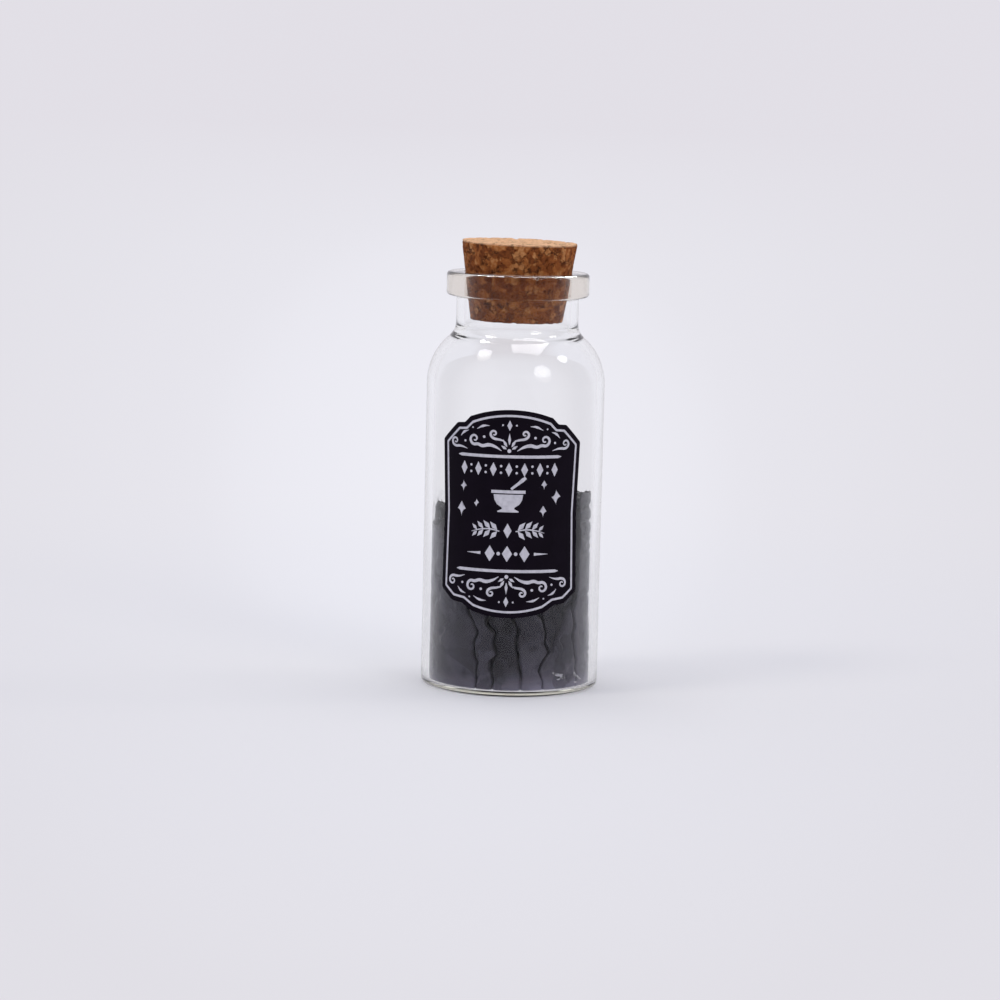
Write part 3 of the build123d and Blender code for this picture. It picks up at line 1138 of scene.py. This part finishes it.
DARK_PATCHES = (520, 4)
GRIT = (3500, 4)
GRIT_BUMP = (0.7, 0.00012)
# Painted shade on the cork inside the neck: (share of the way up, level) stops.
PAINTED_NECK_SHADES = ((0.0, 0.9), (0.32, 0.9), (0.43, 0.93), (0.74, 0.93), (0.9, 1.0))

# Pits, torn granules and seams: how deep they go, and the shares of a noise that they take in.
PIT_DEPTH = 0.3
PIT_LEVELS = (0.32, 0.5)
TORN_DEPTH = 0.14
TORN_LEVELS = (0.8, 0.9)
SEAM_DEPTH = 0.1
SEAM_WIDTH = 0.06
CHIP_DEPTH = 0.3
CHIP_LEVELS = (0.1, 0.5)
GRANULE_SIZE = 1.5


def blended(tree, mask, first, second):
    """One colour over another by a mask."""
    node = tree.nodes.new("ShaderNodeMix")
    node.data_type = "RGBA"
    feed(tree, node.inputs["Factor"], mask)
    for socket, colour in zip((s for s in node.inputs if s.type == "RGBA"), (first, second)):
        feed(tree, socket, colour)
    return next(s for s in node.outputs if s.type == "RGBA")


def greyed(tree, value, stops):
    """The grey at a value on a ramp of (position, level) stops."""
    return toned(tree, value, [(position, (level,) * 3) for position, level in stops])


pressed_cork, tree, shader = new_material(
    "pressed_cork", {"Roughness": 0.85, "Specular IOR Level": 0.15}
)
place = place_on_piece(tree)
stir = noise_on(tree, place, *STIR)["Color"]
stirred = vector_result(tree, "MULTIPLY_ADD", stir, (STIR_REACH,) * 3, place)
granules = cells_on(tree, stirred, GRANULE_SCALE, "SMOOTH_F1", Smoothness=GRANULE_SOFTNESS)
granule_pick = channel(tree, granules["Color"], "Red")
granule_part = worked_out(tree, "MULTIPLY_ADD", granule_pick, 0.7, -0.2)
mottle = noise_on(tree, place, *MOTTLE)["Fac"]
granule_mix = worked_out(tree, "MULTIPLY_ADD", mottle, 0.75, granule_part)
granule_tone = toned(tree, granule_mix, CORK_TONES)
flecks = channel(tree, cells_on(tree, stirred, FLECK_SCALE)["Color"], "Green")
fleck_mask = greyed(tree, flecks, ((0.7, 0), (0.82, 1)))
seams = cells_on(tree, stirred, GRANULE_SCALE, "DISTANCE_TO_EDGE")["Distance"]
seam_mask = greyed(tree, seams, ((0.0, 1), (0.11, 0)))
patch_mask = greyed(tree, noise_on(tree, place, *DARK_PATCHES)["Fac"], ((0.47, 0), (0.6, 1)))
dark_parts = worked_out(tree, "MAXIMUM", seam_mask, fleck_mask)
dark_mask = worked_out(tree, "MULTIPLY", dark_parts, patch_mask)
side_colour = blended(tree, dark_mask, granule_tone, DARK_GRAIN)
top_colour = blended(tree, dark_mask, TOP_TONE, TOP_GRAIN)
cork_axis = (math.sin(CORK_LEAN), 0, math.cos(CORK_LEAN))
up = vector_result(tree, "DOT_PRODUCT", place, cork_axis)
top_height = CORK_SEAT * math.cos(CORK_LEAN) + CORK_TOP - CORK_SEAT
top_mask = ranged(tree, up, top_height + TOP_SKIN[0], top_height + TOP_SKIN[1], unit=MM)
cork_colour = blended(tree, top_mask, side_colour, top_colour)
# Painted shade: the cork's colour is darker where it sits inside the glass's neck and lip.
painted_shade_height = ranged(tree, up, LIP_BOTTOM - 2, BOTTLE_HEIGHT + 1, unit=MM)
cork_with_painted_shade = shaded(tree, cork_colour, greyed(tree, painted_shade_height, PAINTED_NECK_SHADES))
feed(tree, shader.inputs["Base Color"], cork_with_painted_shade)
grit = noise_on(tree, place, *GRIT)["Fac"]
skin = worked_out(tree, "SUBTRACT", grit, dark_mask)
feed(tree, shader.inputs["Normal"], bumped(tree, skin, *GRIT_BUMP))


def pitted(bm):
    """Sinks pits and torn granules into the cork's skin and chips its two edges."""
    bm.normal_update()
    moves = []
    for vert in bm.verts:
        spot = vert.co / MM
        bent = spot / GRANULE_SIZE + noise.noise_vector(spot * 0.8) * 0.35
        distances, cells = noise.voronoi(bent)
        torn = ramp(noise.cell(cells[0] * 17.3), *TORN_LEVELS) * TORN_DEPTH
        seam = math.exp(-(distances[1] - distances[0]) / SEAM_WIDTH) * SEAM_DEPTH
        pit = ramp(noise.noise(spot * 2.1), *PIT_LEVELS) * PIT_DEPTH
        chip = ramp(noise.noise(spot * 1.1 + Vector((9, 3, 5))), *CHIP_LEVELS) * CHIP_DEPTH
        at_edge = max(
            ramp(spot.z, CORK_TOP - 0.7, CORK_TOP - 0.2),
            ramp(spot.z, CORK_BOTTOM + 0.7, CORK_BOTTOM + 0.1),
        )
        moves.append(vert.normal * -(torn + seam + pit + chip * at_edge) * MM)
    for vert, move in zip(bm.verts, moves):
        vert.co += move


bottom_radius = CORK_SEAT_RADIUS + (CORK_BOTTOM - CORK_SEAT) * CORK_SLOPE
top_radius = CORK_SEAT_RADIUS + (CORK_TOP - CORK_SEAT) * CORK_SLOPE
profile = rounded(
    [
        (0, CORK_BOTTOM, 0),
        (bottom_radius, CORK_BOTTOM, CORK_EDGE),
        (top_radius, CORK_TOP, CORK_EDGE),
        (0, CORK_TOP, 0),
    ],
    steps=EDGE_STEPS,
)
bm = bmesh.new()
split_long(bm, chain(bm, profile), CORK_STEP)
spin_round(bm, CORK_STEPS)
pitted(bm)
seat = Matrix.Translation((0, 0, CORK_SEAT * MM))
lean = seat @ Matrix.Rotation(CORK_LEAN, 4, "Y") @ seat.inverted()
bmesh.ops.transform(bm, matrix=lean, verts=bm.verts)
finished(bm, "stopper_cork", pressed_cork, body="stopper", nodes=["cork_stopper"])

# Floor
# A wide pale sheet that the bottle stands on. Close by it takes the bottle's shadows, and
# further off it glows evenly. A soft halo of painted light lies on it round and behind the bottle.

FLOOR_RADIUS = 4.0
FLOOR_STEPS = 128
GLOW_RANGE = (0.07, 0.25, 0.2, 1.0)
FAR_RANGE = (1.2, 3.8)
# The halo is a painted pool of light: where it fans out from, its middle and reach, and its
# strength.
HALO_START = -0.605
HALO_LEVEL = 0.1089
HALO_MIDDLE = (-0.0111, 0.1226, 0)
HALO_REACH = 0.172
HALO_STRENGTHS = (
    (0.0, 1.0),
    (0.1, 0.96),
    (0.17, 0.87),
    (0.235, 0.81),
    (0.3, 0.74),
    (0.37, 0.62),
    (0.44, 0.43),
    (0.51, 0.34),
    (0.58, 0.3),
    (0.65, 0.24),
    (0.81, 0.14),
    (1.0, 0.0),
)
FLOOR_COLOUR = (0.757, 0.743, 0.793)
HALO_COLOUR = (0.862, 0.86, 0.925)
FAR_COLOUR = (0.762, 0.741, 0.796)

# What the glass shows from the sides: paler colours painted on the floor and backdrop for rays
# through or off the glass only, a painted brightness in its walls, and how far out they come in.
NEAR_SIDE_COLOUR = (0.775, 0.77, 0.83)
SIDE_COLOUR = (0.86, 0.86, 0.935)
NEAR_SIDE = (0.03, 0.07)
FAR_SIDE = (0.12, 0.19)


def at_sides(tree, across, limits, rays):
    """How far out to either side a place is, as a share, for one kind of ray only."""
    share = ranged(tree, worked_out(tree, "ABSOLUTE", across), *limits)
    return worked_out(tree, "MULTIPLY", share, rays)


pale_floor, tree, shader = new_material("pale_floor", {"Roughness": 0.9, "Specular IOR Level": 0.1})
place = place_on_piece(tree)
axes = axes_of(tree, place)
distance = vector_result(tree, "LENGTH", place)
ahead = worked_out(tree, "SUBTRACT", axes["Y"], HALO_START)
across = worked_out(tree, "DIVIDE", axes["X"], ahead)
down = worked_out(tree, "DIVIDE", HALO_LEVEL, ahead)
halo_place = add_node(tree, "CombineXYZ", {"X": across, "Y": down})["Vector"]
from_middle = vector_result(tree, "DISTANCE", halo_place, HALO_MIDDLE)
halo = greyed(tree, ranged(tree, from_middle, 0, HALO_REACH), HALO_STRENGTHS)
halo_mask = worked_out(tree, "MULTIPLY", halo, worked_out(tree, "GREATER_THAN", ahead, 0.0))
rays = add_node(tree, "LightPath")
in_glass = worked_out(tree, "MAXIMUM", rays["Is Transmission Ray"], rays["Is Glossy Ray"])
floor_colour = FLOOR_COLOUR
for mask, colour in (
    (halo_mask, HALO_COLOUR),
    (ranged(tree, distance, *FAR_RANGE), FAR_COLOUR),
    (at_sides(tree, across, NEAR_SIDE, rays["Is Transmission Ray"]), NEAR_SIDE_COLOUR),
    (at_sides(tree, across, FAR_SIDE, in_glass), SIDE_COLOUR),
):
    floor_colour = blended(tree, mask, floor_colour, colour)
feed(tree, shader.inputs["Base Color"], floor_colour)
glow = add_node(tree, "Emission", {"Color": floor_colour})["Emission"]
glow_share = ranged(tree, distance, *GLOW_RANGE, eased=True)
surface = mixed(tree, glow_share, shader.outputs["BSDF"], glow)
feed(tree, tree.nodes["Material Output"].inputs["Surface"], surface)

bm = bmesh.new()
bmesh.ops.create_circle(bm, cap_ends=True, segments=FLOOR_STEPS, radius=FLOOR_RADIUS)
floor = stood(bm, "floor")
floor.data.materials.append(pale_floor)

# Light
# A pale room, dimmer on the camera's side, and soft lamps: one high on the left, one low in
# front, one on the right, and a wide panel overhead. Glints show only in the glass's gloss.

ROOM_COLOUR = (0.9, 0.95, 1.1)
ROOM_UP_AND_BACK = (0, 1, 0.6)
ROOM_STRENGTH = (-1.1, -0.2, 0.18, 0.575)
BACKDROP_EDGE = 0.5
LAMP_COLOUR = (1.0, 0.96, 0.81)
GLINT_COLOUR = (1.0, 1.0, 1.0)
LIT_HEIGHT = 0.04

# The right lamp has a glint that stands in for it, so the gloss doesn't show the lamp itself.
NOT_IN_GLOSS = "right_lamp"

# Each lamp's heading and height in degrees, distance, width and height, and power.
LAMPS = (
    ("left_lamp", -62, 50, 1.5, 0.42, 0.42, 3.4),
    ("front_lamp", 36, 20, 1.5, 0.58, 0.58, 3.6),
    ("right_lamp", 102, 36, 1.5, 0.34, 0.34, 1.5),
    ("overhead_panel", 172, 77, 1.5, 1.2, 0.72, 7.5),
    ("front_glint", 37, 29.5, 1.52, 0.58, 0.5, 16.0),
    ("left_glint", -69, 55.5, 1.52, 0.42, 0.42, 8.0),
    ("right_glint", 83, 42.5, 1.52, 0.34, 0.34, 6.0),
    ("overhead_glint", 90, 80, 1.52, 1.2, 0.8, 50.0),
    ("back_left_glint", -138, 65, 1.5, 0.55, 0.55, 32.0),
    ("back_right_glint", 158, 43, 1.5, 0.55, 0.55, 32.0),
)

world = bpy.data.worlds.new("room")
bpy.context.scene.world = world
world.use_nodes = True
tree = world.node_tree
room = tree.nodes["Background"]
heading = add_node(tree, "TexCoord")["Generated"]
up_and_back = vector_result(tree, "DOT_PRODUCT", heading, ROOM_UP_AND_BACK)
feed(tree, room.inputs["Color"], ROOM_COLOUR)
feed(tree, room.inputs["Strength"], ranged(tree, up_and_back, *ROOM_STRENGTH, eased=True))
rays = add_node(tree, "LightPath")
direction = axes_of(tree, heading)
# Painted brightness for the glass's walls: the backdrop turns paler at the sides for rays through
# glass.
side_mask = at_sides(tree, direction["X"], NEAR_SIDE, rays["Is Transmission Ray"])
backdrop_colour = blended(tree, side_mask, FAR_COLOUR, SIDE_COLOUR)
backdrop = add_node(tree, "Background", {"Color": backdrop_colour})["Background"]
behind = ranged(tree, direction["Y"], 0, BACKDROP_EDGE)
mirrored = worked_out(tree, "MULTIPLY", behind, rays["Is Glossy Ray"])
straight_on = worked_out(tree, "MAXIMUM", rays["Is Camera Ray"], rays["Is Transmission Ray"])
seen = worked_out(tree, "MAXIMUM", straight_on, mirrored)
surface = mixed(tree, seen, room.outputs["Background"], backdrop)
feed(tree, tree.nodes["World Output"].inputs["Surface"], surface)

shiny = bpy.data.collections.new("shiny")
shiny.objects.link(bottle_glass)
for name, azimuth, elevation, away, width, height, power in LAMPS:
    is_glint = name.endswith("glint")
    lamp = bpy.data.lights.new(name, "AREA")
    lamp.shape = "RECTANGLE" if name.startswith("overhead") else "DISK"
    lamp.size = width
    if lamp.shape == "RECTANGLE":
        lamp.size_y = height
    lamp.energy = power
    lamp.color = GLINT_COLOUR if is_glint else LAMP_COLOUR
    turn, rise = math.radians(azimuth), math.radians(elevation)
    level = math.cos(rise)
    towards = Vector((math.sin(turn) * level, -math.cos(turn) * level, math.sin(rise)))
    holder = bpy.data.objects.new(name, lamp)
    holder.location = towards * away + Vector((0, 0, LIT_HEIGHT))
    holder.rotation_euler = towards.to_track_quat("Z", "Y").to_euler()
    holder.visible_transmission = False
    holder.visible_glossy = name != NOT_IN_GLOSS
    if is_glint:
        holder.visible_diffuse = False
        holder.light_linking.receiver_collection = shiny
        lamp.use_nodes = True
        tree = lamp.node_tree
        bounces = add_node(tree, "LightPath")["Diffuse Depth"]
        unbounced = worked_out(tree, "LESS_THAN", bounces, 0.5)
        feed(tree, tree.nodes["Emission"].inputs["Strength"], unbounced)
    bpy.context.scene.collection.objects.link(holder)

# Camera
# A long lens that stands above the bottle's top and looks slightly down, rolled a little.

CAMERA_PLACE = (-0.0022, -0.605, 0.1089)
CAMERA_PITCH = math.radians(7.31)
CAMERA_ROLL = math.radians(1.34)
LENS_MM = 129.6
SENSOR_MM = 36

camera_data = bpy.data.cameras.new("camera")
camera_data.sensor_width = SENSOR_MM
camera_data.lens = LENS_MM
camera = bpy.data.objects.new("camera", camera_data)
bpy.context.scene.collection.objects.link(camera)
aim = Euler((math.pi / 2 - CAMERA_PITCH, 0, 0)).to_matrix().to_4x4()
camera.matrix_world = Matrix.Translation(CAMERA_PLACE) @ aim @ Matrix.Rotation(CAMERA_ROLL, 4, "Z")
bpy.context.scene.camera = camera

bpy.context.scene.view_settings.view_transform = "Standard"
